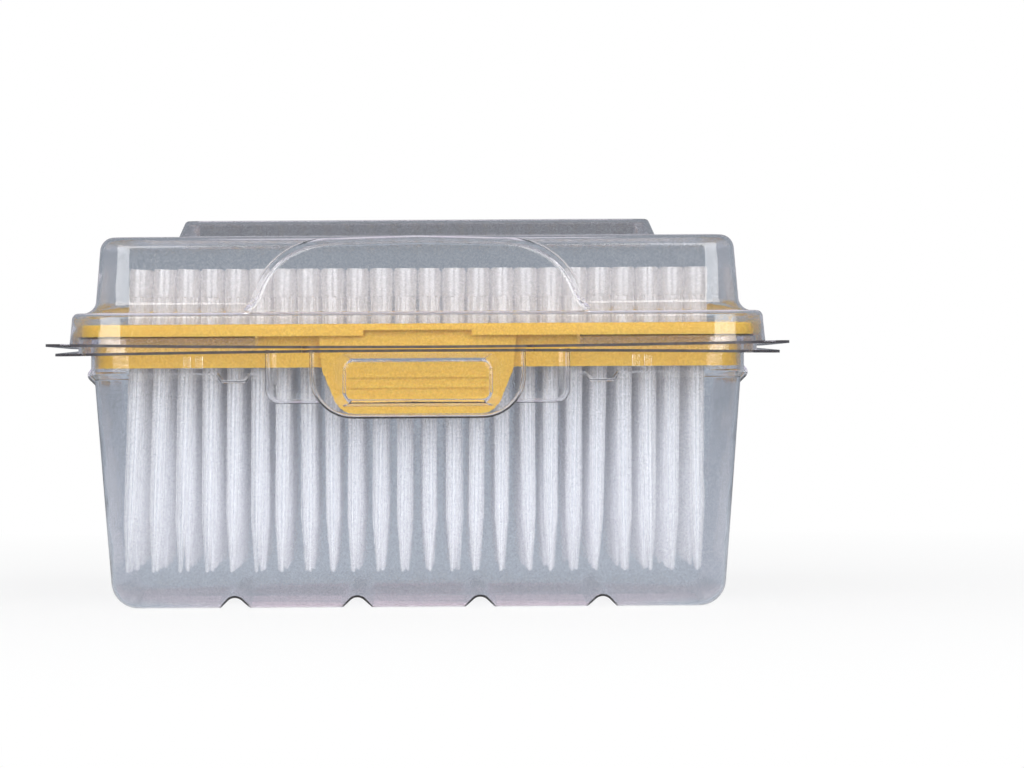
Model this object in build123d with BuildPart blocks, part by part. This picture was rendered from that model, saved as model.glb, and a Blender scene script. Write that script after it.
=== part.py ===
from build123d import *

import os
from math import atan2, degrees, sqrt, tan

# A box of pipette tips: a clear formed-sheet clamshell (a tub and a hinged lid), a moulded rack that hangs in
# the tub's mouth, and 384 tips that stand in the rack, 24 columns of 16.
#
# Millimetres. +X runs along the long side, the front with the latch pocket faces -Y, +Z is up. The origin is
# the middle of the floor, on the surface that the tub stands on. Outlines are given by their half width along
# X. Their half depth along Y is less by PLAN_DIFFERENCE, as on a microplate's footprint.

# ---------------------------------------------------------------- driving dimensions
SHEET = 0.5  # thickness of the clear sheet after forming
LEVEL = 0.01  # heights that differ by less than this are the same level
PLAN_DIFFERENCE = 21.1

COLUMNS, ROWS = 24, 16
PITCH = 4.5

# tub
FLOOR_HALF = 56.9
LEDGE_HALF = 60.15
MOUTH_HALF = 60.65
LEDGE_FOOT_Z, LEDGE_Z = 42.6, 43.7  # the wall slants out to the mouth's width between these heights
FLANGE_Z = 47.5  # underside of the flange
RIM_Z = 50.5  # top of the raised rim, which carries the rack
FLOOR_CORNER = 5.6
MOUTH_CORNER = 7.4
LEDGE_EDGE, LEDGE_ROOT = 0.8, 0.3  # outer radii of the ledge's edge and of its foot
FLOOR_FILLET = 5.0
RIM_HALF = 63.0
RIM_CORNER = 9.6
RIM_EDGE = 0.6
TUB_FLANGE_HALF = 67.3
FLANGE_CORNER = 14.0

GROOVES_X = (-34.1, -11.4, 11.4, 34.1)
GROOVE_HALF = 2.8  # the sides rise at 45 degrees
GROOVE_FOOT_R, GROOVE_CREST_R = 0.3, 1.8
GROOVE_LAND = 1.0

# the front pocket, a shallow step with a deeper well in its middle, and the boss on the well's face
POCKET_HALF, POCKET_Z, POCKET_CORNER = 28.1, 38.0, 2.6
POCKET_Y, POCKET_EDGE = -43.0, 2.3
WELL_HALF, WELL_Z, WELL_CORNER = 19.8, 35.3, 8.0
WELL_Y, WELL_EDGE = -47.5, 0.9
BOSS_HALF, BOSS_LOW_Z, BOSS_HIGH_Z = 15.4, 37.5, 47.3  # at its root
BOSS_FACE_HALF, BOSS_FACE_LOW_Z, BOSS_FACE_HIGH_Z = 13.6, 38.3, 46.2
BOSS_OUT, BOSS_CORNER, BOSS_EDGE = 2.1, 1.9, 0.8
RIM_GAP_HALF = 29.4  # the rim stops this far from the middle, on either side of the pocket

# snap lobes at the ledge of the long sides, the pips above them, and the beads of the short sides
LOBE_X = 34.0
LOBE_TOP_HALF, LOBE_FOOT_HALF = 4.7, 2.2
LOBE_Z, LOBE_TOP_Z = 41.8, 45.2
LOBE_CORNER, LOBE_EDGE = 1.0, 0.8
PIPS_X = (40.3, 42.5)
PIP_R = 0.7
PIP_LOW_Z, PIP_HIGH_Z = 44.6, 46.8
BEAD_HALF, BEAD_OUT = 27.0, 1.5
BEAD_FOOT_Z, BEAD_Z, BEAD_TOP_Z = 40.8, 43.3, 45.2
BEAD_CREST_R, BEAD_EDGE = 1.2, 0.8

# lid
FLANGE_GAP = 0.15  # daylight between the two flanges at the middle of the front
LID_FLANGE_Z = FLANGE_Z + SHEET + FLANGE_GAP
# the flanges part towards the front corners: by these heights at the front, BOW_HALF from the middle
BOW_HALF, BOW_DEPTH_HALF = 72.0, 51.0
LID_BOW, TUB_BOW = 0.8, -0.7
BACK_SHARE = 0.03  # of the bow that is left at the back
RIM_FOOT_Z = FLANGE_Z + TUB_BOW  # no part of the tub's flange is lower
LID_FLANGE_HALF, LID_FLANGE_DEPTH_HALF = 69.0, 47.4
SKIRT_FOOT_HALF, SKIRT_TOP_HALF = 64.75, 64.0
SKIRT_CORNER = 10.4
SHOULDER_Z = 54.9
SHOULDER_FILLET, SHOULDER_EDGE = 2.5, 1.2
LID_FOOT_HALF, LID_TOP_HALF = 59.9, 58.7
LID_CORNER = 6.9
LID_Z = 69.0
LID_EDGE = 2.6
RIDGE_Z = 72.4
RIDGE_HALF_X, RIDGE_HALF_Y = 45.2, 19.0
RIDGE_CORNER = 4.0
RIDGE_SLOPE = 24.0  # degrees from upright
RIDGE_FILLET = 0.9

# arch pressed out of the lid's front wall; its outline is drawn down to a root under the shoulder
ARCH_ROOT_HALF, ARCH_WAIST_HALF, ARCH_CROWN_HALF = 38.5, 31.4, 26.4
ARCH_ROOT_Z, ARCH_WAIST_Z, ARCH_CROWN_Z, ARCH_TOP_Z = 53.5, 56.3, 68.3, 69.0
ARCH_FLARE, ARCH_SHOULDER, ARCH_CREST = 4.0, 14.0, 60.0  # radii
ARCH_WALL_Y = -38.2  # where the arch has its full outline
ARCH_BACK_Y = -34.0
ARCH_LOW_Y, ARCH_HIGH_Y = -40.4, -39.9
ARCH_DRAFT, ARCH_EDGE = 34.0, 1.0

# tongue of both flanges, in front of the well
TONGUE_HALF = 21.2
TONGUE_CORNER = 2.5
TUB_TONGUE_Y, LID_TONGUE_Y = -50.2, -50.8

# hinge fold on the back flange, in two stretches
HINGE_FROM_X, HINGE_TO_X = 8.0, 40.0
HINGE_LENGTH = HINGE_TO_X - HINGE_FROM_X
HINGE_MIDDLE_X = (HINGE_FROM_X + HINGE_TO_X) / 2
HINGE_Y = 49.0
HINGE_Z = FLANGE_Z + SHEET + FLANGE_GAP / 2
HINGE_BEAD_R = 0.6
HINGE_CLEARANCE = 0.1

# rack
LIP_HALF, LIP_CORNER = 62.35, 9.0
LIP_EDGE = 0.5
LIP_Z = 52.7
DECK_Z = 52.1
DECK_UNDER_Z = 50.5
BORDER = 3.6
RACK_HALF, RACK_CORNER, RACK_FOOT_Z = 59.5, 7.6, 44.7
RACK_WALL = 1.2
HOLE_R = 1.62
LIP_NOTCH_HALF, LIP_NOTCH_Z = 10.0, 51.5
TAB_TOP_HALF, TAB_WAIST_HALF, TAB_FOOT_HALF = 18.3, 17.6, 14.2
TAB_WAIST_Z, TAB_FOOT_Z = 44.0, 36.1
TAB_CORNER = 4.0
TAB_THICK = 1.5
TAB_RIBS_Z = (43.1, 41.2, 38.9)
TAB_RIB_HALF = 13.0
TAB_RIB = 0.35

# tip, upright, with its heights measured from the point
TIP_LENGTH = 56.2
POINT_R, ORIFICE_R = 0.32, 0.18
NOSE_Z, NOSE_R, NOSE_BORE_R = 10.05, 1.14, 0.84
RIB_FOOT_Z, BODY_R, BODY_BORE_R = 45.3, 1.53, 1.22
COLLAR_Z, RIB_R, COLLAR_R, COLLAR_BORE_R = 51.0, 1.92, 2.0, 1.5
MOUTH_R, MOUTH_BORE_R, MOUTH_BORE_LENGTH = 2.09, 1.63, 4.2
MOUTH_CHAMFER_R, MOUTH_CHAMFER_Z = 0.2, 0.6


def half_depth(half_width):
    """Half depth along Y of the outline that has this half width."""
    return half_width - PLAN_DIFFERENCE


def outline(half_width, corner):
    """The box's plan at this half width, for the sketch that is open."""
    RectangleRounded(2 * half_width, 2 * half_depth(half_width), corner)


def draft(foot_half, top_half, height):
    """The taper, in degrees, that takes one half width to the other over this height."""
    return degrees(atan2(foot_half - top_half, height))


def level_face(form, z):
    """The flat face of the form that looks up at the height z."""
    level = form.faces().filter_by(Axis.Z).filter_by_position(Axis.Z, z - LEVEL, z + LEVEL)
    return level.sort_by(SortBy.AREA)[-1]


def below(face, z):
    """The edges of the face that lie below the height z."""
    return face.edges().filter_by_position(Axis.Z, 0, z - LEVEL)


# ---------------------------------------------------------------- tub
def snap_lobe(middle, inset):
    """A bar through the tub whose ends are two lobes, flush with the mouth's wall on the two long sides."""
    with BuildPart() as bar:
        with BuildSketch(Plane.XZ):
            with BuildLine():
                FilletPolyline(
                    (middle - LOBE_TOP_HALF + inset, LOBE_TOP_Z - inset),
                    (middle - LOBE_FOOT_HALF, LOBE_Z + inset),
                    (middle + LOBE_FOOT_HALF, LOBE_Z + inset),
                    (middle + LOBE_TOP_HALF - inset, LOBE_TOP_Z - inset),
                    radius=LOBE_CORNER - inset,
                    close=True,
                )
            make_face()
        extrude(amount=half_depth(MOUTH_HALF) - inset, both=True)
        ends = bar.faces().filter_by(Axis.Y)
        fillet([edge for end in ends for edge in below(end, LOBE_TOP_Z - inset)], LOBE_EDGE - inset)
    return bar.part


def side_beads(inset):
    """A bar through the tub whose ends stand out as a long bead on each short side."""
    crest, foot = MOUTH_HALF + BEAD_OUT, LEDGE_HALF - SHEET
    with BuildPart() as bar:
        with BuildSketch(Plane.XZ):
            with BuildLine():
                FilletPolyline(
                    (-MOUTH_HALF, BEAD_TOP_Z),
                    (-crest, BEAD_Z),
                    (-foot, BEAD_FOOT_Z),
                    (foot, BEAD_FOOT_Z),
                    (crest, BEAD_Z),
                    (MOUTH_HALF, BEAD_TOP_Z),
                    radius=[BEAD_CREST_R, 0, 0, BEAD_CREST_R],
                )
                Line((-MOUTH_HALF, BEAD_TOP_Z), (MOUTH_HALF, BEAD_TOP_Z))
            make_face()
            if inset:
                offset(amount=-inset, kind=Kind.INTERSECTION)
        extrude(amount=BEAD_HALF - inset, both=True)
        ends = bar.faces().filter_by(Axis.Y)
        fillet([edge for end in ends for edge in below(end, BEAD_TOP_Z - inset)], BEAD_EDGE - inset)
    return bar.part


def front_step(half, foot_z, corner, face_y, edge, inset):
    """A step that reaches forward of the mouth's wall, open at the top, with a rounded edge to its face."""
    side, foot, top = half - inset, foot_z + inset, FLANGE_Z + SHEET
    with BuildPart() as step:
        with BuildSketch(Plane.XZ):
            with BuildLine():
                FilletPolyline((-side, top), (-side, foot), (side, foot), (side, top), radius=corner - inset)
                Line((side, top), (-side, top))
            make_face()
        extrude(amount=-face_y - inset)
        fillet(below(step.faces().sort_by(Axis.Y)[0], top), edge - inset)
    return step.part


def boss_form(inset):
    """The boss on the well's face: a root, and a smaller face in front of it."""
    root_y = WELL_Y + inset
    with BuildPart() as boss:
        with BuildSketch(Plane.XZ.offset(-root_y)):
            with Locations((0, (BOSS_LOW_Z + BOSS_HIGH_Z) / 2)):
                RectangleRounded(
                    2 * (BOSS_HALF - inset), BOSS_HIGH_Z - BOSS_LOW_Z - 2 * inset, BOSS_CORNER - inset
                )
        with BuildSketch(Plane.XZ.offset(BOSS_OUT - root_y)):
            with Locations((0, (BOSS_FACE_LOW_Z + BOSS_FACE_HIGH_Z) / 2)):
                RectangleRounded(
                    2 * (BOSS_FACE_HALF - inset),
                    BOSS_FACE_HIGH_Z - BOSS_FACE_LOW_Z - 2 * inset,
                    BOSS_CORNER - inset,
                )
        loft()
        fillet(boss.faces().sort_by(Axis.Y)[0].edges(), BOSS_EDGE - inset)
    return boss.part


def tub_form(inset):
    """The space within the tub's outer surface, or within its inner surface when inset by the sheet."""
    # where a slanting wall is inset by the sheet, the ends of the slant rise a little
    rise = inset * tan(atan2(MOUTH_HALF - LEDGE_HALF, LEDGE_Z - LEDGE_FOOT_Z) / 2)
    foot_z, ledge_z = LEDGE_FOOT_Z + rise, LEDGE_Z + rise
    with BuildPart() as form:
        with BuildSketch(Plane.XY.offset(inset)):
            outline(FLOOR_HALF - inset, FLOOR_CORNER - inset)
        extrude(amount=foot_z - inset, taper=draft(FLOOR_HALF, LEDGE_HALF, LEDGE_FOOT_Z))
        fillet(form.faces().sort_by(Axis.Z)[0].outer_wire().edges(), FLOOR_FILLET - inset)
        with BuildSketch(Plane.XY.offset(ledge_z)) as mouth:
            outline(MOUTH_HALF - inset, MOUTH_CORNER - inset)
        loft([form.faces().sort_by(Axis.Z)[-1], mouth.sketch.face()], ruled=True)
        extrude(amount=FLANGE_Z + SHEET - ledge_z)
        # the sheet's inner surface has the two radii of the ledge the other way round
        edge, root = (LEDGE_ROOT, LEDGE_EDGE) if inset else (LEDGE_EDGE, LEDGE_ROOT)
        for z, radius in ((ledge_z, edge), (foot_z, root)):
            fillet(form.edges().filter_by_position(Axis.Z, z - LEVEL, z + LEVEL), radius)

        # grooves across the floor, front to back
        foot = GROOVE_HALF + (sqrt(2) - 1) * inset
        land = foot + GROOVE_LAND
        for x in GROOVES_X:
            with BuildSketch(Plane.XZ):
                with BuildLine():
                    FilletPolyline(
                        (x - land, inset),
                        (x - foot, inset),
                        (x, inset + foot),
                        (x + foot, inset),
                        (x + land, inset),
                        radius=[GROOVE_FOOT_R, GROOVE_CREST_R + inset, GROOVE_FOOT_R],
                    )
                    Polyline((x + land, inset), (x + land, -SHEET), (x - land, -SHEET), (x - land, inset))
                make_face()
            extrude(amount=FLOOR_HALF, both=True, mode=Mode.SUBTRACT)

        # snap lobes: the mouth's wall runs down below the ledge at two places on each long side
        for side in (-1, 1):
            add(snap_lobe(side * LOBE_X, inset))
        add(side_beads(inset))

        add(front_step(POCKET_HALF, POCKET_Z, POCKET_CORNER, POCKET_Y, POCKET_EDGE, inset))
        add(front_step(WELL_HALF, WELL_Z, WELL_CORNER, WELL_Y, WELL_EDGE, inset))
        add(boss_form(inset))
    return form.part


def bow_points(z, rise):
    """Three points of an arc across the box, with its middle at the height z and its ends this much higher."""
    return (-BOW_HALF, z + rise), (0, z), (BOW_HALF, z + rise)


def bowed_slab(low_z, high_z, bow):
    """A slab with the bow of a flange, which is full at the front."""
    with BuildPart() as slab:
        for y, rise in ((-BOW_DEPTH_HALF, bow), (BOW_DEPTH_HALF, BACK_SHARE * bow)):
            with BuildSketch(Plane.XZ.offset(-y)):
                with BuildLine():
                    low = ThreePointArc(*bow_points(low_z, rise))
                    high = ThreePointArc(*bow_points(high_z, rise))
                    Line(low @ 0, high @ 0)
                    Line(low @ 1, high @ 1)
                make_face()
        loft()
    return slab.part


def rim_gap(grow):
    """The stretch of the front where the rim stops, widened by grow."""
    with BuildPart() as gap:
        with BuildSketch(Plane.XY.offset(RIM_FOOT_Z)):
            with Locations((0, -RIM_HALF)):
                Rectangle(2 * (RIM_GAP_HALF + grow), RIM_HALF)
        extrude(amount=2 * (RIM_Z - RIM_FOOT_Z))
    return gap.part


tub_outer = tub_form(0)
tub_inner = tub_form(SHEET)
front_gap = rim_gap(0)
front_gap_wall = rim_gap(SHEET)
tub_flange_sheet = bowed_slab(FLANGE_Z, FLANGE_Z + SHEET, TUB_BOW)
under_tub_flange = bowed_slab(RIM_FOOT_Z - SHEET, FLANGE_Z, TUB_BOW)

# flange, with its tongue at the front and its hinge strips at the back
with BuildPart() as tub_flange:
    with BuildSketch(Plane.XY.offset(RIM_FOOT_Z)):
        outline(TUB_FLANGE_HALF, FLANGE_CORNER)
        with Locations((0, TUB_TONGUE_Y / 2)):
            RectangleRounded(2 * TONGUE_HALF, -TUB_TONGUE_Y, TONGUE_CORNER)
        with Locations((-HINGE_MIDDLE_X, HINGE_Y / 2), (HINGE_MIDDLE_X, HINGE_Y / 2)):
            Rectangle(HINGE_LENGTH, HINGE_Y)
    extrude(amount=RIM_Z - RIM_FOOT_Z)
    add(tub_flange_sheet, mode=Mode.INTERSECT)

# the hollow under the rim, open downwards
with BuildPart() as rim_hollow:
    with BuildSketch(Plane.XY.offset(RIM_FOOT_Z)):
        outline(RIM_HALF - SHEET, RIM_CORNER - SHEET)
    extrude(amount=RIM_Z - SHEET - RIM_FOOT_Z)
    add(front_gap_wall, mode=Mode.SUBTRACT)

with BuildPart() as rim:
    with BuildSketch(Plane.XY.offset(RIM_FOOT_Z)):
        outline(RIM_HALF, RIM_CORNER)
    extrude(amount=RIM_Z - RIM_FOOT_Z)
    fillet(level_face(rim.part, RIM_Z).outer_wire().edges(), RIM_EDGE)
    add(under_tub_flange, mode=Mode.SUBTRACT)
    add(rim_hollow.part, mode=Mode.SUBTRACT)
    with BuildSketch(Plane.XY.offset(FLANGE_Z)):
        outline(MOUTH_HALF, MOUTH_CORNER)
    extrude(amount=RIM_Z - FLANGE_Z)
    add(front_gap, mode=Mode.SUBTRACT)

with BuildPart() as tub:
    add(tub_flange.part)
    add(rim_hollow.part, mode=Mode.SUBTRACT)
    add(rim.part)
    add(tub_outer)
    with BuildSketch(Plane.XY.offset(PIP_LOW_Z)):
        with Locations([(side * x, -half_depth(MOUTH_HALF)) for x in PIPS_X for side in (-1, 1)]):
            Circle(PIP_R)
    extrude(amount=PIP_HIGH_Z - PIP_LOW_Z)
    add(tub_inner, mode=Mode.SUBTRACT)
    with BuildSketch(Plane.XY.offset(FLANGE_Z)):
        outline(MOUTH_HALF - SHEET, MOUTH_CORNER - SHEET)
    extrude(amount=2 * (RIM_Z - FLANGE_Z), mode=Mode.SUBTRACT)
    # beads of the hinge fold
    for side in (-1, 1):
        with BuildSketch(Plane.YZ.offset(side * HINGE_MIDDLE_X)):
            with Locations((HINGE_Y, HINGE_Z)):
                Circle(HINGE_BEAD_R)
        extrude(amount=HINGE_LENGTH / 2, both=True)
tub.part.label = "tub"


# ---------------------------------------------------------------- lid
def arch_form(inset):
    """The bulge of the arch. Behind the wall it runs straight back into the lid."""
    root_z, top_z = ARCH_ROOT_Z - inset, LID_Z - inset
    root, waist, crown = ARCH_ROOT_HALF - inset, ARCH_WAIST_HALF - inset, ARCH_CROWN_HALF - inset
    with BuildPart() as form:
        with BuildSketch(Plane.XZ.offset(-ARCH_WALL_Y)) as arch_outline:
            with BuildLine():
                FilletPolyline(
                    (-root, root_z),
                    (-waist, ARCH_WAIST_Z - inset),
                    (-crown, ARCH_CROWN_Z - inset),
                    (0, ARCH_TOP_Z - inset),
                    (crown, ARCH_CROWN_Z - inset),
                    (waist, ARCH_WAIST_Z - inset),
                    (root, root_z),
                    radius=[ARCH_FLARE, ARCH_SHOULDER, ARCH_CREST, ARCH_SHOULDER, ARCH_FLARE],
                )
                Line((-root, root_z), (root, root_z))
            make_face()
        extrude(amount=ARCH_WALL_Y - ARCH_LOW_Y, taper=ARCH_DRAFT)
        extrude(arch_outline.sketch, amount=ARCH_WALL_Y - ARCH_BACK_Y)
        with BuildSketch(Plane.YZ):
            with BuildLine():
                Polyline(
                    (0, root_z),
                    (ARCH_LOW_Y + inset, root_z),
                    (ARCH_HIGH_Y + inset, top_z),
                    (0, top_z),
                    close=True,
                )
            make_face()
        extrude(amount=ARCH_ROOT_HALF, both=True, mode=Mode.INTERSECT)
        face = form.faces().sort_by(Axis.Y)[0]
        fillet(face.edges().filter_by_position(Axis.Z, SHOULDER_Z, LID_Z), ARCH_EDGE - inset)
    return form.part


def lid_form(inset):
    """The space within the lid's outer surface, or within its inner surface when inset by the sheet."""
    shoulder_z, top_z = SHOULDER_Z - inset, LID_Z - inset
    arch = arch_form(inset)
    with BuildPart() as form:
        with BuildSketch(Plane.XY.offset(FLANGE_Z)):
            outline(SKIRT_FOOT_HALF - inset, SKIRT_CORNER - inset)
        extrude(
            amount=shoulder_z - FLANGE_Z,
            taper=draft(SKIRT_FOOT_HALF, SKIRT_TOP_HALF, SHOULDER_Z - FLANGE_Z),
        )
        with BuildSketch(Plane.XY.offset(shoulder_z)):
            outline(LID_FOOT_HALF - inset, LID_CORNER - inset)
        extrude(amount=top_z - shoulder_z, taper=draft(LID_FOOT_HALF, LID_TOP_HALF, LID_Z - SHOULDER_Z))
        shoulder = level_face(form.part, shoulder_z)
        fillet(shoulder.inner_wires()[0].edges(), SHOULDER_FILLET + inset)
        shoulder = level_face(form.part, shoulder_z)
        fillet(shoulder.outer_wire().edges(), SHOULDER_EDGE - inset)
        fillet(level_face(form.part, top_z).outer_wire().edges(), LID_EDGE - inset)
        with BuildSketch(Plane.XY.offset(top_z)):
            RectangleRounded(2 * (RIDGE_HALF_X - inset), 2 * (RIDGE_HALF_Y - inset), RIDGE_CORNER)
        extrude(amount=RIDGE_Z - LID_Z, taper=RIDGE_SLOPE)
        fillet(level_face(form.part, RIDGE_Z - inset).outer_wire().edges(), RIDGE_FILLET)
        fillet(level_face(form.part, top_z).inner_wires()[0].edges(), RIDGE_FILLET)
        add(arch)
    return form.part


lid_flange_sheet = bowed_slab(LID_FLANGE_Z, LID_FLANGE_Z + SHEET, LID_BOW)
under_lid_flange = bowed_slab(RIM_FOOT_Z - SHEET, LID_FLANGE_Z, LID_BOW)

with BuildPart() as lid_flange:
    with BuildSketch(Plane.XY.offset(FLANGE_Z)):
        RectangleRounded(2 * LID_FLANGE_HALF, 2 * LID_FLANGE_DEPTH_HALF, FLANGE_CORNER)
        with Locations((0, LID_TONGUE_Y / 2)):
            RectangleRounded(2 * TONGUE_HALF, -LID_TONGUE_Y, TONGUE_CORNER)
    extrude(amount=SHOULDER_Z - FLANGE_Z)
    add(lid_flange_sheet, mode=Mode.INTERSECT)
    with BuildSketch(Plane.XY.offset(LID_FLANGE_Z)):
        with Locations((-HINGE_MIDDLE_X, HINGE_Y / 2), (HINGE_MIDDLE_X, HINGE_Y / 2)):
            Rectangle(HINGE_LENGTH, HINGE_Y)
    extrude(amount=SHEET)

lid_outer = lid_form(0)
lid_inner = lid_form(SHEET)
with BuildPart() as lid:
    add(lid_outer)
    add(under_lid_flange, mode=Mode.SUBTRACT)
    add(lid_flange.part)
    add(lid_inner, mode=Mode.SUBTRACT)
    for side in (-1, 1):
        with BuildSketch(Plane.YZ.offset(side * HINGE_MIDDLE_X)):
            with Locations((HINGE_Y, HINGE_Z)):
                Circle(HINGE_BEAD_R + HINGE_CLEARANCE)
        extrude(amount=HINGE_LENGTH / 2, both=True, mode=Mode.SUBTRACT)
lid.part.label = "lid"

# ---------------------------------------------------------------- rack
with BuildPart() as rack:
    # border lip and the deck, which lies a little lower
    with BuildSketch(Plane.XY.offset(DECK_UNDER_Z)):
        outline(LIP_HALF, LIP_CORNER)
    extrude(amount=LIP_Z - DECK_UNDER_Z)
    fillet(level_face(rack.part, LIP_Z).outer_wire().edges(), LIP_EDGE)
    with BuildSketch(Plane.XY.offset(DECK_Z)):
        outline(LIP_HALF - BORDER, LIP_CORNER - BORDER)
    extrude(amount=LIP_Z - DECK_Z, mode=Mode.SUBTRACT)
    # skirt
    with BuildSketch(Plane.XY.offset(RACK_FOOT_Z)):
        outline(RACK_HALF, RACK_CORNER)
    extrude(amount=DECK_UNDER_Z - RACK_FOOT_Z)
    with BuildSketch(Plane.XY.offset(RACK_FOOT_Z)):
        outline(RACK_HALF - RACK_WALL, RACK_CORNER - RACK_WALL)
    extrude(amount=DECK_UNDER_Z - RACK_FOOT_Z, mode=Mode.SUBTRACT)
    # relief under the lip at the middle of the front
    with BuildSketch(Plane.XZ.offset(half_depth(RACK_HALF) + TAB_THICK)):
        with Locations((0, DECK_UNDER_Z)):
            Rectangle(2 * LIP_NOTCH_HALF, 2 * (LIP_NOTCH_Z - DECK_UNDER_Z))
    extrude(amount=LIP_HALF - RACK_HALF, mode=Mode.SUBTRACT)
    # hanging tab with its finger ribs
    with BuildSketch(Plane.XZ.offset(half_depth(RACK_HALF))):
        with BuildLine():
            FilletPolyline(
                (-TAB_TOP_HALF, LIP_NOTCH_Z),
                (-TAB_WAIST_HALF, TAB_WAIST_Z),
                (-TAB_FOOT_HALF, TAB_FOOT_Z),
                (TAB_FOOT_HALF, TAB_FOOT_Z),
                (TAB_WAIST_HALF, TAB_WAIST_Z),
                (TAB_TOP_HALF, LIP_NOTCH_Z),
                radius=TAB_CORNER,
            )
            Line((-TAB_TOP_HALF, LIP_NOTCH_Z), (TAB_TOP_HALF, LIP_NOTCH_Z))
        make_face()
    extrude(amount=TAB_THICK)
    with BuildSketch(Plane.XZ.offset(half_depth(RACK_HALF) + TAB_THICK)):
        with Locations([(0, z) for z in TAB_RIBS_Z]):
            SlotCenterToCenter(2 * TAB_RIB_HALF, 2 * TAB_RIB)
    extrude(amount=TAB_RIB)
    # holes for the tips
    with BuildSketch(Plane.XY.offset(DECK_UNDER_Z)):
        with GridLocations(PITCH, PITCH, COLUMNS, ROWS):
            Circle(HOLE_R)
    extrude(amount=LIP_Z - DECK_UNDER_Z, mode=Mode.SUBTRACT)
rack.part.label = "rack"

# ---------------------------------------------------------------- tips
with BuildPart() as tip:
    with BuildSketch(Plane.XZ):
        with BuildLine():
            nose = Polyline((NOSE_BORE_R, NOSE_Z), (ORIFICE_R, 0), (POINT_R, 0), (NOSE_R, NOSE_Z))
            body = Bezier(nose @ 1, (BODY_R, RIB_FOOT_Z))
            rib_band = Polyline(body @ 1, (RIB_R, RIB_FOOT_Z), (RIB_R, COLLAR_Z))
            collar = Bezier(rib_band @ 1, (MOUTH_R, TIP_LENGTH - MOUTH_CHAMFER_Z))
            mouth = Polyline(
                collar @ 1,
                (MOUTH_R - MOUTH_CHAMFER_R, TIP_LENGTH),
                (MOUTH_BORE_R, TIP_LENGTH),
                (MOUTH_BORE_R, TIP_LENGTH - MOUTH_BORE_LENGTH),
            )
            seat = Bezier(mouth @ 1, (COLLAR_BORE_R, COLLAR_Z))
            throat = Bezier(seat @ 1, (BODY_BORE_R, RIB_FOOT_Z))
            Bezier(throat @ 1, nose @ 0)
        make_face()
    revolve(axis=Axis.Z)

tip_z = DECK_Z - RIB_FOOT_Z  # height of the points
columns = []
for column in range(COLUMNS):
    x = (column - (COLUMNS - 1) / 2) * PITCH
    with BuildPart() as tips_column:
        with Locations([(x, (row - (ROWS - 1) / 2) * PITCH, tip_z) for row in range(ROWS)]):
            add(tip.part)
    tips_column.part.label = f"tips_column_{column + 1:02d}"
    columns.append(tips_column)

# ---------------------------------------------------------------- files
os.makedirs("parts", exist_ok=True)
for piece in (tub, lid, rack, *columns):
    export_step(piece.part, f"parts/{piece.part.label}.step")
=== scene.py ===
import math
import random

import bmesh
import bpy
from mathutils import Matrix, Vector


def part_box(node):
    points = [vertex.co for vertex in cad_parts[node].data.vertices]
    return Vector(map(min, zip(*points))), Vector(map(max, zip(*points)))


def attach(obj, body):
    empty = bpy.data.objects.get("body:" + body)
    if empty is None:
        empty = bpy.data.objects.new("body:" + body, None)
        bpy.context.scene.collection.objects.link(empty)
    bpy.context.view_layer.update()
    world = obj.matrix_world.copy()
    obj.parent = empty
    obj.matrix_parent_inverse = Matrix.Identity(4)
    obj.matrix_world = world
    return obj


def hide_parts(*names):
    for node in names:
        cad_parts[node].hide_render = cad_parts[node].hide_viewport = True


# A box of pipette tips: a clear formed-sheet clamshell round a yellow moulded rack that holds a grid of
# natural tips. Metres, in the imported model's frame: the front faces -Y, +Z is up.

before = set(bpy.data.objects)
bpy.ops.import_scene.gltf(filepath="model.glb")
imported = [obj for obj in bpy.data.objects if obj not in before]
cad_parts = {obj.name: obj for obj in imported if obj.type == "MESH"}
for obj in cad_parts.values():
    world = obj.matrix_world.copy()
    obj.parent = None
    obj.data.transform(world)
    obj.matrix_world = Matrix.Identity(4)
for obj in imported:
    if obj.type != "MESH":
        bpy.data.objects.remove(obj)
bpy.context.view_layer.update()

MM = 0.001
FLANGE_BOW_HALF = 72 * MM  # the half length over which a flange bows
ROWS, PITCH = 16, 4.5 * MM  # the tips of a column
TIP_HEIGHT = 56.2 * MM
TIP_SEAT = 45.3 * MM  # the height up the tip at which its collar starts
TIP_RIBS_TOP = 51.0 * MM  # and at which the ribs of the collar end
PAINTED_TIP_LINES = 9  # painted long lines round a tip: milkier stripes for the bright lines that the thin walls refract
# how far the points of each column stand to the left of its collars, in millimetres, column by column
# from the left
LEANS = (
    2.3, 1.9, 1.1, 0.7, 1.0, 0.7, 0.7, 0.2, 0.5, 0.5, 0.4, 0.4,
    0.1, 0.3, 0.6, 0.3, -0.3, 0.2, 0.5, 0.7, 0.3, 0.0, 0.4, -0.2,
)
COLLAR_FOOT = 52.1 * MM  # the rack's deck, on which the collars stand
PAINTED_SHADE_FROM = 68.0 * MM  # the height from which the sheet is tinted darker, a painted shade over the top and the ridge
BEHIND = (0.345, 0.385, 0.44, 1.0)  # the grey of the studio behind the clear sheets
MIRRORED = (0.19, 0.20, 0.22, 1.0)  # the dark of the studio that the clear sheets mirror
COLUMNS = sorted(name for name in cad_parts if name.startswith("tips_column_"))


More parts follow.
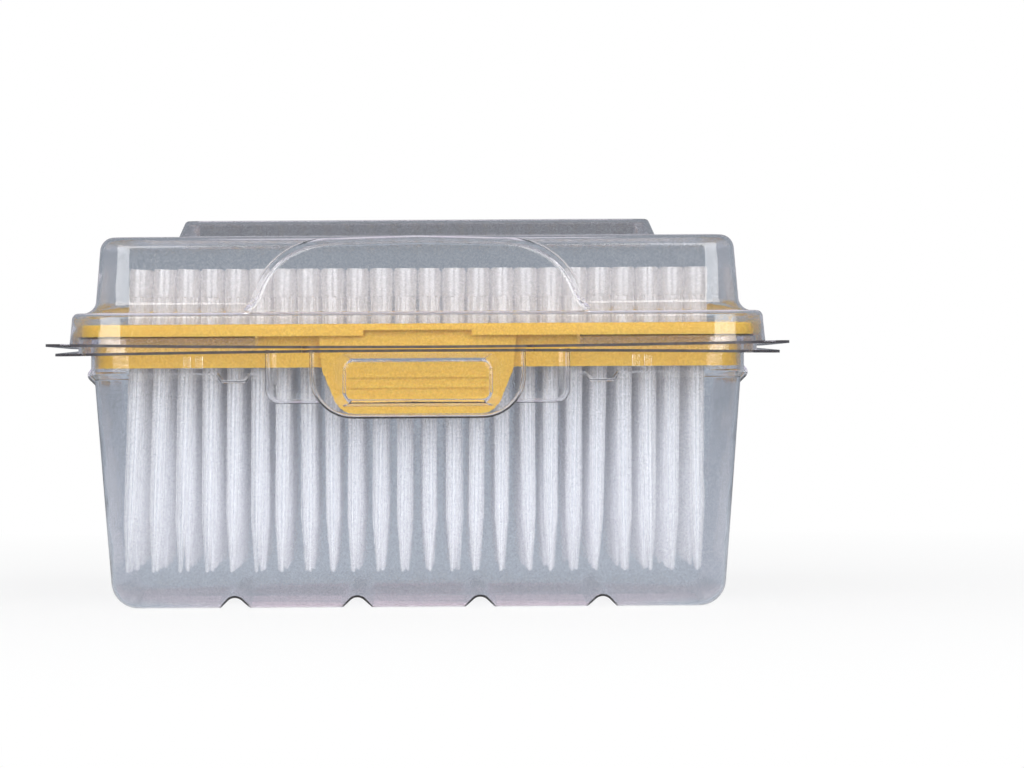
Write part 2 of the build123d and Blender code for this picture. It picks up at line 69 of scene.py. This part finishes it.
# ---------------------------------------------------------------- shader kit
class Signal:
    """One shader socket, for use in arithmetic: every operator adds a Math node."""

    def __init__(self, shader, socket):
        self.shader = shader
        self.socket = socket

    def math(self, operation, first, second):
        return self.shader.math(operation, first, second)

    def __add__(self, other):
        return self.math("ADD", self, other)

    def __radd__(self, other):
        return self.math("ADD", other, self)

    def __sub__(self, other):
        return self.math("SUBTRACT", self, other)

    def __rsub__(self, other):
        return self.math("SUBTRACT", other, self)

    def __mul__(self, other):
        return self.math("MULTIPLY", self, other)

    def __rmul__(self, other):
        return self.math("MULTIPLY", other, self)

    def __truediv__(self, other):
        return self.math("DIVIDE", self, other)

    def __lt__(self, other):
        return self.math("LESS_THAN", self, other)

    def __gt__(self, other):
        return self.math("GREATER_THAN", self, other)

    def maximum(self, other):
        return self.math("MAXIMUM", self, other)

    def clamped(self):
        """The value held between 0 and 1."""
        return self.math("MINIMUM", self.math("MAXIMUM", self, 0.0), 1.0)


class Shader:
    """A node tree that is being written."""

    def __init__(self, owner):
        owner.use_nodes = True
        self.tree = owner.node_tree
        self.tree.nodes.clear()

    def math(self, operation, first, second=0.0):
        return self.add("ShaderNodeMath", {"operation": operation}, {0: first, 1: second})

    def add(self, kind, settings=None, sockets=None, output=0):
        """A node: its settings first, then its sockets, each a value or a Signal. Returns one output."""
        node = self.tree.nodes.new(kind)
        for name, value in (settings or {}).items():
            setattr(node, name, value)
        for name, value in (sockets or {}).items():
            if isinstance(value, Signal):
                self.tree.links.new(value.socket, node.inputs[name])
            else:
                node.inputs[name].default_value = value
        return Signal(self, node.outputs[output])

    def position(self):
        """Object coordinates, in metres."""
        return self.add("ShaderNodeTexCoord", output="Object")

    def height(self):
        """The height above the floor, in metres."""
        return self.add("ShaderNodeSeparateXYZ", None, {"Vector": self.position()}, output="Z")

    def noise(self, scale, detail=2.0, roughness=0.5):
        """Noise from 0 to 1, with its scale in features per metre."""
        sockets = {"Vector": self.position(), "Scale": scale, "Detail": detail, "Roughness": roughness}
        return self.add("ShaderNodeTexNoise", None, sockets)

    def bump(self, height, distance, strength):
        sockets = {"Height": height, "Distance": distance, "Strength": strength}
        return self.add("ShaderNodeBump", None, sockets)

    def mix_colour(self, factor, first, second):
        return self.add(
            "ShaderNodeMix",
            {"data_type": "RGBA"},
            {"Factor": factor, 6: first, 7: second},
            output=2,
        )

    def mix(self, factor, first, second):
        """Two shaders mixed by a factor."""
        return self.add("ShaderNodeMixShader", None, {0: factor, 1: first, 2: second})

    def path(self, output):
        """What is known of the light's path, such as Is Camera Ray."""
        return self.add("ShaderNodeLightPath", output=output)

    def emission(self, colour):
        return self.add("ShaderNodeEmission", None, {"Color": colour, "Strength": 1.0})

    def diffuse(self, colour):
        return self.add("ShaderNodeBsdfDiffuse", None, {"Color": colour})

    def background(self, colour, strength=1.0):
        return self.add("ShaderNodeBackground", None, {"Color": colour, "Strength": strength})

    def transparent(self, colour):
        return self.add("ShaderNodeBsdfTransparent", None, {"Color": colour})

    def length(self, vector):
        return self.add("ShaderNodeVectorMath", {"operation": "LENGTH"}, {0: vector}, output="Value")

    def facing(self):
        """0 where the surface faces the eye, 1 where it is seen edge on."""
        return self.add("ShaderNodeLayerWeight", None, {"Blend": 0.5}, output="Facing")

    def finish(self, surface, kind="ShaderNodeOutputMaterial"):
        output = self.tree.nodes.new(kind)
        self.tree.links.new(surface.socket, output.inputs["Surface"])


def rgb(red, green, blue):
    return (red, green, blue, 1.0)


# ---------------------------------------------------------------- finishes
def through_for_lamps(shader, surface, tint):
    """The surface for the eye, and plain tinted sheet for the rays that come to it from the lamps."""
    return shader.mix(shader.path("Is Shadow Ray"), surface, shader.transparent(tint))


def clear_sheet():
    """Formed polyester sheet: clear and glossy, with a fine grain."""
    material = bpy.data.materials.new("clear_sheet")
    shader = Shader(material)
    grain = shader.noise(2800, detail=1.0, roughness=0.4)
    normal = shader.bump(grain, 0.02 * MM, 0.35)
    speck = (3.0 * grain - 1.0).clamped()
    clear = shader.mix_colour(speck, rgb(0.81, 0.815, 0.83), rgb(1.0, 1.0, 1.0))
    smoky_painted_shade = shader.mix_colour(speck, rgb(0.63, 0.615, 0.62), rgb(0.88, 0.86, 0.855))
    # over the top and the ridge the sheet is tinted smokier, a painted shade
    painted_top_shade = ((shader.height() - PAINTED_SHADE_FROM) / (1.5 * MM)).clamped()
    tint = shader.mix_colour(painted_top_shade, clear, smoky_painted_shade)
    surface = shader.add(
        "ShaderNodeBsdfPrincipled",
        None,
        {
            "Base Color": tint,
            "Roughness": 0.06,
            "IOR": 1.62,
            "Transmission Weight": 1.0,
            "Normal": normal,
        },
    )
    # light that has run on along the inside of the sheet leaves it
    leaving = shader.transparent(rgb(0.97, 0.96, 0.98))
    surface = shader.mix(shader.path("Ray Depth") > 5.5, surface, leaving)
    shader.finish(through_for_lamps(shader, surface, rgb(0.95, 0.955, 0.965)))
    return material


def painted_shade_cut_edge():
    """The sheet's edge, where it is cut: light runs along the sheet, so it looks dark, and this finish
    paints that shade in as a painted shade.
    """
    material = bpy.data.materials.new("sheet_edge_painted_shade")
    shader = Shader(material)
    mottle = shader.noise(900, detail=2.0)
    dark = shader.add(
        "ShaderNodeBsdfPrincipled",
        None,
        {
            "Base Color": shader.mix_colour(mottle, rgb(0.02, 0.02, 0.025), rgb(0.10, 0.09, 0.10)),
            "Roughness": 0.3,
        },
    )
    # painted shade: the cut edge is mostly see-through, darkened by a dark mottled skin
    shader.finish(shader.mix(0.9, shader.transparent(rgb(0.5, 0.5, 0.54)), dark))
    return material


def rack_plastic():
    """Yellow moulded polypropylene with a satin skin."""
    material = bpy.data.materials.new("yellow_rack")
    shader = Shader(material)
    cloud = shader.noise(45, detail=3.0)
    spark = shader.noise(2200, detail=2.0)
    colour = shader.mix_colour(cloud, rgb(0.60, 0.355, 0.036), rgb(0.65, 0.405, 0.05))
    normal = shader.bump(spark, 0.015 * MM, 0.5)
    shader.finish(
        shader.add(
            "ShaderNodeBsdfPrincipled",
            None,
            {
                "Base Color": colour,
                "Roughness": 0.34 + 0.12 * spark,
                "IOR": 1.49,
                "Subsurface Weight": 0.35,
                "Subsurface Radius": (2.5, 1.2, 0.3),
                "Subsurface Scale": 1.0 * MM,
                "Normal": normal,
            },
        )
    )
    return material


def tip_plastic():
    """Natural polypropylene: hazy, most of all in the collars, with glossy walls and faint long lines
    painted in as milkier stripes, for the lines that the thin walls refract.
    """
    material = bpy.data.materials.new("natural_tips")
    shader = Shader(material)
    collar = shader.height() > COLLAR_FOOT
    haze = shader.mix_colour(collar, rgb(0.96, 0.955, 0.965), rgb(0.68, 0.645, 0.63))
    skin = shader.add(
        "ShaderNodeBsdfPrincipled",
        None,
        {
            "Base Color": haze,
            "Roughness": 0.12,
            "IOR": 1.49,
            "Coat Weight": 1.0,
            "Coat IOR": 4.0,
            "Coat Roughness": 0.05,
        },
    )
    glow = shader.add("ShaderNodeBsdfTranslucent", None, {"Color": rgb(0.88, 0.875, 0.885)})
    milk = shader.mix(0.45, skin, glow)
    clear = shader.transparent(rgb(0.98, 0.985, 0.99))
    round_tip = shader.add("ShaderNodeUVMap", {"uv_map": "round"})
    turn = shader.add("ShaderNodeSeparateXYZ", None, {"Vector": round_tip}, output="X")
    # painted refraction lines: stripes round each tip where the plastic is milkier
    wave = shader.math("SINE", turn * (2 * math.pi * PAINTED_TIP_LINES))
    line = ((wave - 0.6) * 5.0).clamped() * (1.0 - collar)
    head_on = 0.10 + 0.28 * collar + 0.42 * line
    edge = ((shader.facing() - 0.35) * 1.8).clamped()
    surface = shader.mix(head_on + (0.75 - head_on) * edge, clear, milk)
    shader.finish(through_for_lamps(shader, surface, rgb(0.98, 0.98, 0.982)))
    return material


# ---------------------------------------------------------------- pieces
def joined_copy(node, name, crease_degrees, materials):
    """A copy of a CAD node with its loose triangles joined, shaded smooth up to the crease angle."""
    mesh = bpy.data.meshes.new(name)
    shape = bmesh.new()
    shape.from_mesh(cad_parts[node].data)
    bmesh.ops.remove_doubles(shape, verts=shape.verts, dist=0.0005 * MM)
    crease = math.radians(crease_degrees)
    for edge in shape.edges:
        edge.smooth = edge.calc_face_angle(0.0) < crease
    for face in shape.faces:
        face.smooth = True
        face.material_index = 0
    shape.to_mesh(mesh)
    shape.free()
    for material in materials:
        mesh.materials.append(material)
    piece = bpy.data.objects.new(name, mesh)
    bpy.context.scene.collection.objects.link(piece)
    weighted = piece.modifiers.new("weighted_normals", "WEIGHTED_NORMAL")
    weighted.mode = "FACE_AREA"
    weighted.weight = 80
    weighted.keep_sharp = True
    return piece


def mark_cut_edges(piece, half_x, half_y, low, droop):
    """Gives the flange's cut edge its painted dark shade: upright faces beyond the half sizes, above the
    level.

    The level falls from the middle of the box to its ends, as the flange does.
    """
    vertices = piece.data.vertices
    for face in piece.data.polygons:
        beyond = abs(face.center.x) > half_x or abs(face.center.y) > half_y
        level = low - droop * (face.center.x / FLANGE_BOW_HALF) ** 2
        above = all(vertices[corner].co.z > level for corner in face.vertices)
        if beyond and above and abs(face.normal.z) < 0.5:
            face.material_index = 1


def tip_mesh(segments):
    """One tip, upright on the origin, from its section: spun, with pressed panels between its ribs."""
    outside = (
        (0.32, 0.0), (1.14, 10.05), (1.53, 45.3), (1.92, 45.3), (1.92, 51.0), (2.0, 51.0), (2.09, 55.6),
        (1.89, 56.2),
    )
    inside = ((1.63, 56.2), (1.5, 51.0), (1.22, 45.3), (0.84, 10.05), (0.18, 0.0))
    shape = bmesh.new()
    ring = [shape.verts.new((radius * MM, 0.0, height * MM)) for radius, height in (*outside, *inside)]
    edges = [shape.edges.new(pair) for pair in zip(ring, ring[1:] + ring[:1])]
    bmesh.ops.spin(
        shape,
        geom=ring + edges,
        cent=(0, 0, 0),
        axis=(0, 0, 1),
        angle=2 * math.pi,
        steps=segments,
        use_merge=True,
    )
    bmesh.ops.remove_doubles(shape, verts=shape.verts, dist=0.001 * MM)
    bmesh.ops.recalc_face_normals(shape, faces=shape.faces)
    margin = 0.1 * MM
    band = [
        face for face in shape.faces
        if TIP_SEAT + margin < face.calc_center_median().z < TIP_RIBS_TOP - margin
        and face.calc_center_median().xy.length > 1.6 * MM
    ]
    band.sort(key=lambda face: math.atan2(face.calc_center_median().y, face.calc_center_median().x))
    panels = band[::2]
    bmesh.ops.inset_individual(shape, faces=panels, thickness=0.16 * MM, depth=-0.14 * MM)
    around = shape.loops.layers.uv.new("round")
    for face in shape.faces:
        centre = face.calc_center_median()
        middle = math.atan2(centre.y, centre.x) / (2 * math.pi)
        for loop in face.loops:
            point = loop.vert.co
            turn = math.atan2(point.y, point.x) / (2 * math.pi)
            turn -= round(turn - middle)
            loop[around].uv = (turn, point.z / TIP_HEIGHT)
    return shape


def tips_column(node, left, chance, material):
    """The tips of one column, each turned at random, with its point about this far left of its collar."""
    low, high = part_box(node)
    middle = (low + high) / 2
    single = tip_mesh(16)
    mesh_of_one = bpy.data.meshes.new("one_tip")
    single.to_mesh(mesh_of_one)
    single.free()
    together = math.degrees(left * MM / TIP_SEAT)
    shape = bmesh.new()
    for row in range(ROWS):
        start = len(shape.verts)
        shape.from_mesh(mesh_of_one)
        shape.verts.ensure_lookup_table()
        place = Vector((middle.x, middle.y + (row - (ROWS - 1) / 2) * PITCH, low.z + TIP_SEAT))
        spread = together if row == 0 else together * 0.6 + chance.uniform(-0.6, 0.6)
        lean = Matrix.Rotation(math.radians(chance.uniform(-0.8, 0.8)), 4, "X")
        lean = lean @ Matrix.Rotation(math.radians(spread + chance.uniform(-0.5, 0.5)), 4, "Y")
        turn = Matrix.Rotation(chance.uniform(0, math.pi), 4, "Z")
        matrix = Matrix.Translation(place) @ lean @ turn @ Matrix.Translation((0, 0, -TIP_SEAT))
        bmesh.ops.transform(shape, matrix=matrix, verts=shape.verts[start:])
    for edge in shape.edges:
        edge.smooth = edge.calc_face_angle(0.0) < math.radians(40)
    for face in shape.faces:
        face.smooth = True
    mesh = bpy.data.meshes.new(node + "_tips")
    shape.to_mesh(mesh)
    shape.free()
    bpy.data.meshes.remove(mesh_of_one)
    mesh.materials.append(material)
    piece = bpy.data.objects.new(node + "_tips", mesh)
    bpy.context.scene.collection.objects.link(piece)
    return piece


def build_box():
    # edge is the painted dark shade for the sheet's cut edge
    sheet, edge = clear_sheet(), painted_shade_cut_edge()
    for node, name, half_x, half_y, low, droop in (
        ("tub", "tub_shell", 65.2 * MM, 44.2 * MM, 47.4 * MM, 0.8 * MM),
        ("lid", "lid_shell", 65.6 * MM, 44.6 * MM, 45.0 * MM, 0.0),
    ):
        shell = joined_copy(node, name, 32, (sheet, edge))
        mark_cut_edges(shell, half_x, half_y, low, droop)
        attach(shell, node)
        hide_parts(node)

    rack = joined_copy("rack", "rack_moulding", 32, (rack_plastic(),))
    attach(rack, "tub")
    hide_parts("rack")

    plastic = tip_plastic()
    chance = random.Random(384)
    for node, left in zip(COLUMNS, LEANS):
        tips = tips_column(node, left, chance, plastic)
        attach(tips, "tub")
        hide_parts(node)


# ---------------------------------------------------------------- studio
def seen_plainly(shader):
    """1 for what the eye sees of the studio with no clear sheet in between."""
    return shader.path("Is Camera Ray") * (shader.path("Transparent Depth") < 0.5)


def seen_through(shader):
    """1 for what the eye sees of the studio through the sheets, 0 for the light that falls on things."""
    through = shader.path("Is Camera Ray").maximum(shader.path("Is Transmission Ray"))
    return through * (shader.path("Diffuse Depth") < 0.5)


def seen_mirrored(shader):
    """1 for what the eye sees of the studio mirrored in the sheets."""
    return shader.path("Is Glossy Ray") * (shader.path("Diffuse Depth") < 0.5)


def floor():
    """A large pale floor. Seen plainly it is white, and keeps the box's shadow."""
    shape = bmesh.new()
    bmesh.ops.create_grid(shape, x_segments=4, y_segments=4, size=4.0)
    mesh = bpy.data.meshes.new("floor")
    shape.to_mesh(mesh)
    shape.free()
    ground = bpy.data.objects.new("floor", mesh)
    bpy.context.scene.collection.objects.link(ground)
    material = bpy.data.materials.new("pale_floor")
    shader = Shader(material)
    place = shader.position()
    squeezed = shader.add("ShaderNodeVectorMath", {"operation": "MULTIPLY"}, {0: place, 1: (0.62, 1, 1)})
    # under the box the floor looks pinkish through the sheets, and hazy beyond it
    beyond = ((shader.length(squeezed) - 0.036) / 0.008).clamped()
    pinkish, haze = shader.diffuse(rgb(0.70, 0.59, 0.65)), shader.emission(rgb(0.45, 0.50, 0.58))
    through = shader.mix(beyond, pinkish, haze)
    far = ((shader.length(place) - 0.10) / 0.25).clamped()
    pale = shader.diffuse(rgb(0.78, 0.78, 0.78))
    around = shader.mix(seen_mirrored(shader) * far, pale, shader.emission(MIRRORED))
    hidden = shader.mix(seen_through(shader), around, through)
    plain = shader.mix(0.75 + 0.25 * far, pale, shader.emission(rgb(1, 1, 1)))
    shader.finish(shader.mix(seen_plainly(shader), hidden, plain))
    mesh.materials.append(material)


def studio_world():
    """White where it is seen plainly, grey behind the clear sheets, and an even soft light on things."""
    world = bpy.data.worlds.new("studio")
    bpy.context.scene.world = world
    shader = Shader(world)
    # the dark room shows in the sheet's first reflection, and light that ran on through the sheet is paler
    run = shader.path("Ray Depth") > 2.5
    reflection = shader.mix(run, shader.background(MIRRORED), shader.background(rgb(0.80, 0.78, 0.86)))
    light = shader.background(rgb(0.97, 0.98, 1.0), 0.70)
    around = shader.mix(seen_mirrored(shader), light, reflection)
    hidden = shader.mix(seen_through(shader), around, shader.background(BEHIND))
    plain = shader.background(rgb(1, 1, 1))
    shader.finish(shader.mix(seen_plainly(shader), hidden, plain), "ShaderNodeOutputWorld")


def softbox(name, azimuth, height, distance, width, tall, radiance):
    """A rectangular lamp aimed at the box. Azimuth 0 is the front, and positive is to the right."""
    lamp = bpy.data.lights.new(name, "AREA")
    lamp.shape = "RECTANGLE"
    lamp.size = width
    lamp.size_y = tall
    lamp.energy = radiance * math.pi * width * tall
    stand = bpy.data.objects.new(name, lamp)
    turn = math.radians(azimuth)
    stand.location = (distance * math.sin(turn), -distance * math.cos(turn), height)
    aim = Vector((0, 0, 0.05)) - stand.location
    stand.rotation_euler = aim.to_track_quat("-Z", "Y").to_euler()
    bpy.context.scene.collection.objects.link(stand)


def studio_camera():
    """Level with the flanges, straight in front of the box, with the box left of the picture's middle."""
    camera = bpy.data.cameras.new("camera")
    camera.sensor_width = 36.0
    camera.lens = 169.8
    camera.shift_x = 0.0923
    camera.shift_y = -0.0381
    stand = bpy.data.objects.new("camera", camera)
    tilt = Matrix.Rotation(math.radians(90), 4, "X") @ Matrix.Rotation(math.radians(-0.31), 4, "Z")
    stand.matrix_world = Matrix.Translation((0, -0.93, 0.04875)) @ tilt
    bpy.context.scene.collection.objects.link(stand)
    bpy.context.scene.camera = stand


build_box()
floor()
studio_world()
softbox("left_softbox", -31, 0.51, 1.13, 1.0, 1.02, 2.9)
softbox("right_softbox", 31, 0.51, 1.13, 1.0, 1.02, 2.9)
studio_camera()
bpy.context.scene.view_settings.view_transform = "Standard"
bpy.context.scene.cycles.transparent_max_bounces = 48
bpy.context.scene.cycles.max_bounces = 24
bpy.context.scene.cycles.transmission_bounces = 24
